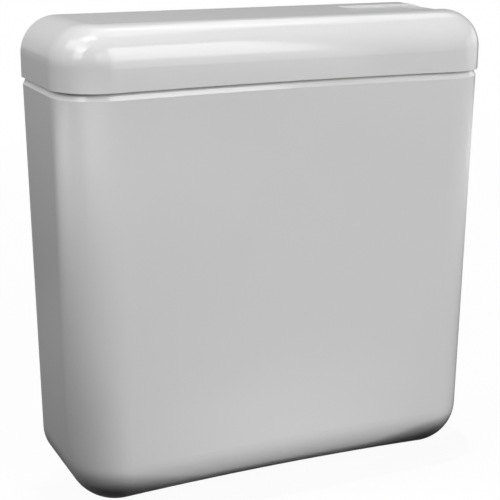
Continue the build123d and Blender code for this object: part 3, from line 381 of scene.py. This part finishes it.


# Hinge pins and the key's spring
# Straight pins cut from drawn stainless wire, and a coil wound from a thinner one with its end
# turns closed. Both keep the fine lines that the die leaves.
STEEL = (0.56, 0.55, 0.53)
STEEL_STAIN = 0.85
STAIN_SCALE = 160.0
STAIN_DETAIL = 3.0
STAIN_ROUGH = 0.1
DIE_DETAIL = 4.0
DIE_ROUGH = 0.2
DIE_DEPTH = 0.00001
STEEL_POLISH = 0.12
PIN_LINES = (5000, 60, 5000)
COIL_LINES = (900, 900, 6000)
SPRING_WIRE_R = 0.00045
SPRING_TURNS = 7
SPRING_STEPS = 24
SPRING_CLOSED = 0.00095
WIRE_SIDES = 12


def die_lines(spot, stretch, detail):
    """The fine lines of a drawn piece, along the axis that is stretched the least."""
    along = spot.node("ShaderNodeMapping", None, {"Vector": spot, "Scale": stretch})
    return noise(along, 1.0, detail)


def drawn_steel(name, stretch):
    """Bright drawn wire with a light stain in patches."""
    material, steel, shader = surface(name)
    spot = steel.node("ShaderNodeTexCoord", output="Object")
    lines = die_lines(spot, stretch, DIE_DETAIL)
    stain = noise(spot, STAIN_SCALE, STAIN_DETAIL)
    stain.between(shade(STEEL, STEEL_STAIN), STEEL).into(shader, "Base Color")
    shader.inputs["Metallic"].default_value = 1.0
    (lines * DIE_ROUGH + stain * STAIN_ROUGH + STEEL_POLISH).into(shader, "Roughness")
    relief(lines, DIE_DEPTH, shader)
    return material


def skin_over(shape, rings):
    """Joins a chain of rings of corners into one closed body with flat ends."""
    corners = len(rings[0])
    for before, after in zip(rings, rings[1:]):
        for corner in range(corners):
            beside = (corner + 1) % corners
            shape.faces.new((before[corner], before[beside], after[beside], after[corner]))
    shape.faces.new(rings[0][::-1])
    shape.faces.new(rings[-1])
    bmesh.ops.recalc_face_normals(shape, faces=shape.faces)


dress(drawn_steel("pin_wire", PIN_LINES), "key_pin", "lever_pin", "arm_pin")

spring_low, spring_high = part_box("key_spring")
coil_r = (spring_high.x - spring_low.x) / 2 - SPRING_WIRE_R
coil_rise = spring_high.z - spring_low.z - 2 * SPRING_WIRE_R
open_pitch = (coil_rise - 2 * SPRING_CLOSED) / (SPRING_TURNS - 2)
coil_foot = (spring_low + spring_high) / 2
coil_foot.z = spring_low.z + SPRING_WIRE_R

# The first and the last turn are wound closed, and those between them are open.
upward = Vector((0, 0, 1))
winding = bmesh.new()
rings = []
for step in range(SPRING_TURNS * SPRING_STEPS + 1):
    turns = step / SPRING_STEPS
    closed = min(turns, 1) + max(turns - SPRING_TURNS + 1, 0)
    opened = min(max(turns - 1, 0), SPRING_TURNS - 2)
    outward = Vector((math.cos(math.tau * turns), math.sin(math.tau * turns), 0))
    middle = coil_foot + outward * coil_r
    middle.z += closed * SPRING_CLOSED + opened * open_pitch
    ring = []
    for side in range(WIRE_SIDES):
        angle = math.tau * side / WIRE_SIDES
        spoke = outward * math.cos(angle) + upward * math.sin(angle)
        ring.append(winding.verts.new(middle + spoke * SPRING_WIRE_R))
    rings.append(ring)
skin_over(winding, rings)
for face in winding.faces:
    face.smooth = len(face.verts) == 4
return_coil = placed("return_coil", winding)
return_coil.data.materials.append(drawn_steel("spring_wire", COIL_LINES))
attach(return_coil, "lid")
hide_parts("key_spring")
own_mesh(return_coil)


# Lift lever, bridge and yoke
# The lever and the yoke are moulded acetal, and the bridge is polypropylene. It stands in two
# seats on the rim, the lever rocks on its pin, and the yoke hangs from the lever's fork with its
# collar on the overflow tube.
ACETAL_GREY = (0.45, 0.47, 0.47)
ACETAL_POLISH = 0.34
BRIDGE_GREY = (0.62, 0.62, 0.6)
BRIDGE_POLISH = 0.4
FINE_PEEL = 0.00001
PEEL = 0.00002
dress(moulded("lever_acetal", ACETAL_GREY, ACETAL_POLISH, FINE_PEEL), "lift_lever", "lift_yoke")
dress(moulded("bridge_polypropylene", BRIDGE_GREY, BRIDGE_POLISH, PEEL), "lever_bridge")


# Outlet and flush pipe union
# A white polypropylene valve seat whose threaded spigot goes down through the floor. A rubber
# washer seals under its flange, and a notched nylon backnut pulls it tight. The ribbed union nut
# below it squeezes a cone seal on the flush pipe.
VALVE_WHITE = (0.64, 0.64, 0.61)
VALVE_POLISH = 0.36
NUT_WHITE = (0.57, 0.57, 0.54)
NUT_POLISH = 0.42
NUT_PEEL = 0.00003
NUT_PEEL_SCALE = 420.0
BLACK_TONE = 0.012
BLACK_BLOOM = 0.05
BLOOM_SCALE = 90.0
BLOOM_DETAIL = 5.0
BLOOM_ROUGH = 0.25
GRAIN_SCALE = 2400.0
GRAIN_DEPTH = 0.00002
RUBBER_ROUGH = 0.5
SPIGOT_PITCH = 0.00115
SPIGOT_ROOT = 0.0239
SPIGOT_CREST = 0.0243

# A thread's ridge: half its foot and half its top as shares of the pitch, how far its foot is
# sunk as a share of its height, and the part of a turn over which it runs out.
RIDGE_FOOT = 0.44
RIDGE_TOP = 0.08
RIDGE_SUNK = 0.1
RUN_OUT = 1 / 3
THREAD_STEPS = 36


def thread(name, start, along, length, root, crest, pitch):
    """A raised ridge that winds round a straight core and runs out at both ends."""
    axis = Vector(along).normalized()
    across = axis.orthogonal().normalized()
    third = axis.cross(across)
    foot, top = axis * pitch * RIDGE_FOOT, axis * pitch * RIDGE_TOP
    sunk = root - RIDGE_SUNK * (crest - root)
    count = round(length / pitch * THREAD_STEPS)
    ridge = bmesh.new()
    rings = []
    for step in range(count + 1):
        turns, turns_left = step / THREAD_STEPS, (count - step) / THREAD_STEPS
        angle = math.tau * turns
        outward = across * math.cos(angle) + third * math.sin(angle)
        middle = Vector(start) + axis * (pitch * turns)
        rise = (crest - root) * min(1.0, turns / RUN_OUT, turns_left / RUN_OUT)
        low = middle + outward * sunk
        high = middle + outward * (root + rise)
        profile = (low - foot, high - top, high + top, low + foot)
        rings.append([ridge.verts.new(corner) for corner in profile])
    skin_over(ridge, rings)
    return placed(name, ridge)


def rubber(name, tone, bloom):
    """Matt rubber or silicone with a pale bloom in patches and a fine grain."""
    material, sheet, shader = surface(name)
    spot = sheet.node("ShaderNodeTexCoord", output="Object")
    patch = noise(spot, BLOOM_SCALE, BLOOM_DETAIL)
    (patch ** 2).between([tone] * 3, [bloom] * 3).into(shader, "Base Color")
    (patch * BLOOM_ROUGH + RUBBER_ROUGH).into(shader, "Roughness")
    relief(noise(spot, GRAIN_SCALE), GRAIN_DEPTH, shader)
    return material


valve_white = moulded("valve_polypropylene", VALVE_WHITE, VALVE_POLISH, PEEL)
nut_nylon = moulded("nut_nylon", NUT_WHITE, NUT_POLISH, NUT_PEEL, NUT_PEEL_SCALE)
black_rubber = rubber("black_rubber", BLACK_TONE, BLACK_BLOOM)
dress(valve_white, "outlet_body")
dress(nut_nylon, "outlet_backnut", "flush_pipe_nut")
dress(black_rubber, "outlet_washer", "flush_pipe_seal")

backnut_low, backnut_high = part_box("outlet_backnut")
spigot_x, spigot_y, _ = (backnut_low + backnut_high) / 2
union_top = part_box("flush_pipe_nut")[1].z
spigot_third = (backnut_low.z - union_top) / 3
spigot_thread = thread(
    "spigot_thread", (spigot_x, spigot_y, union_top + spigot_third), (0, 0, 1),
    spigot_third, SPIGOT_ROOT, SPIGOT_CREST, SPIGOT_PITCH,
)
spigot_thread.data.materials.append(valve_white)
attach(spigot_thread, "cistern")


# Flush valve
# A polypropylene cage stands on the outlet. Inside it the extruded overflow tube, with the
# silicone seal that its nylon retainer clamps and a closed-cell float, slides up to flush and
# drops back to shut.
FOAM_WHITE = (0.74, 0.74, 0.71)
FOAM_SHADE = 0.94
FOAM_PATCHES = 60.0
FOAM_DETAIL = 4.0
FOAM_ROUGH = 0.5
CELL_SCALE = 700.0
CELL_SHARE = 0.4
CELL_ROUGH = 0.2
CELL_DEPTH = 0.00015
TUBE_WHITE = (0.68, 0.68, 0.65)
TUBE_SHADE = 0.96
TUBE_PATCHES = 40.0
TUBE_DETAIL = 3.0
TUBE_POLISH = 0.24
TUBE_LINES = (1400, 1400, 12)
TUBE_STRAY = 0.12
TUBE_DEPTH = 0.00002
SILICONE_TONE = 0.05
SILICONE_BLOOM = 0.12


def foamed(name):
    """Closed-cell plastic: a matt skin dimpled by the cells under it."""
    material, foam, shader = surface(name)
    spot = foam.node("ShaderNodeTexCoord", output="Object")
    cells = foam.node("ShaderNodeTexVoronoi", None, {"Vector": spot, "Scale": CELL_SCALE})
    patch = noise(spot, FOAM_PATCHES, FOAM_DETAIL)
    pale = patch * (1 - CELL_SHARE) + cells * CELL_SHARE
    pale.between(shade(FOAM_WHITE, FOAM_SHADE), FOAM_WHITE).into(shader, "Base Color")
    (cells * CELL_ROUGH + FOAM_ROUGH).into(shader, "Roughness")
    relief(cells, CELL_DEPTH, shader)
    return material


def extruded(name):
    """Drawn tube: faint straight lines from the die run up and down its wall."""
    material, wall, shader = surface(name)
    spot = wall.node("ShaderNodeTexCoord", output="Object")
    lines = die_lines(spot, TUBE_LINES, TUBE_DETAIL)
    patch = noise(spot, TUBE_PATCHES, TUBE_DETAIL)
    patch.between(shade(TUBE_WHITE, TUBE_SHADE), TUBE_WHITE).into(shader, "Base Color")
    (lines * TUBE_STRAY + (TUBE_POLISH - TUBE_STRAY / 2)).into(shader, "Roughness")
    relief(lines, TUBE_DEPTH, shader)
    return material


tube_white = extruded("tube_plastic")
float_foam = foamed("float_foam")
silicone = rubber("grey_silicone", SILICONE_TONE, SILICONE_BLOOM)
dress(valve_white, "valve_cage")
dress(tube_white, "overflow_tube")
dress(silicone, "valve_seal")
dress(nut_nylon, "seal_retainer")
dress(float_foam, "valve_float")


# Fill valve and water inlet
# An acetal valve on a threaded shank that a nylon nut and a rubber washer fix to the right wall.
# Its ribbed cap holds the silicone diaphragm and the plunger, a fine polypropylene filter sits in
# the shank's mouth, and a drop tube carries the water down.
FILL_WHITE = (0.54, 0.54, 0.51)
FILL_POLISH = 0.3
FILTER_GREY = (0.32, 0.34, 0.34)
FILTER_POLISH = 0.4
INLET_PITCH = 0.001814
TAIL_ROOT = 0.0104
TAIL_CREST = 0.0109
TAIL_FROM_NUT = 0.0018
acetal = moulded("fill_acetal", FILL_WHITE, FILL_POLISH, FINE_PEEL)
dress(acetal, "fill_valve_body", "fill_valve_cap", "fill_plunger")
dress(black_rubber, "inlet_washer")
dress(nut_nylon, "inlet_backnut")
dress(moulded("filter_polypropylene", FILTER_GREY, FILTER_POLISH, PEEL), "inlet_filter")
dress(silicone, "fill_valve_diaphragm")
dress(tube_white, "drop_tube")

nut_low, nut_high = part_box("inlet_backnut")
tail_x = nut_high.x + TAIL_FROM_NUT
tail_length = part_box("fill_valve_body")[1].x - INLET_PITCH - tail_x
_, tail_y, tail_z = (nut_low + nut_high) / 2
tail_thread = thread(
    "inlet_thread", (tail_x, tail_y, tail_z), (1, 0, 0),
    tail_length, TAIL_ROOT, TAIL_CREST, INLET_PITCH,
)
tail_thread.data.materials.append(acetal)
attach(tail_thread, "cistern")


# Float, its arm and its screw stem
# The acetal arm presses the fill valve's plunger shut as the float rises. The foam float climbs a
# coarse nylon screw stem, turned by the knob on its end, and a small nut takes the float's load.
STEM_LEAN = math.radians(32)
STEM_ALONG = Vector((-math.sin(STEM_LEAN), 0, math.cos(STEM_LEAN)))
STEM_PITCH = 0.004
STEM_ROOT = 0.003
STEM_CREST = 0.0033
STEM_THREAD = 0.0512
STEM_BELOW_NUT = 0.042
arm_acetal = moulded("arm_acetal", ACETAL_GREY, ACETAL_POLISH, FINE_PEEL)
dress(arm_acetal, "float_arm")
dress(nut_nylon, "float_stem", "float_nut")
dress(float_foam, "float")

nut_low, nut_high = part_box("float_nut")
stem_start = (nut_low + nut_high) / 2 - STEM_ALONG * STEM_BELOW_NUT
stem_thread = thread(
    "stem_thread", stem_start, STEM_ALONG, STEM_THREAD, STEM_ROOT, STEM_CREST, STEM_PITCH
)
stem_thread.data.materials.append(nut_nylon)
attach(stem_thread, "float_stem")
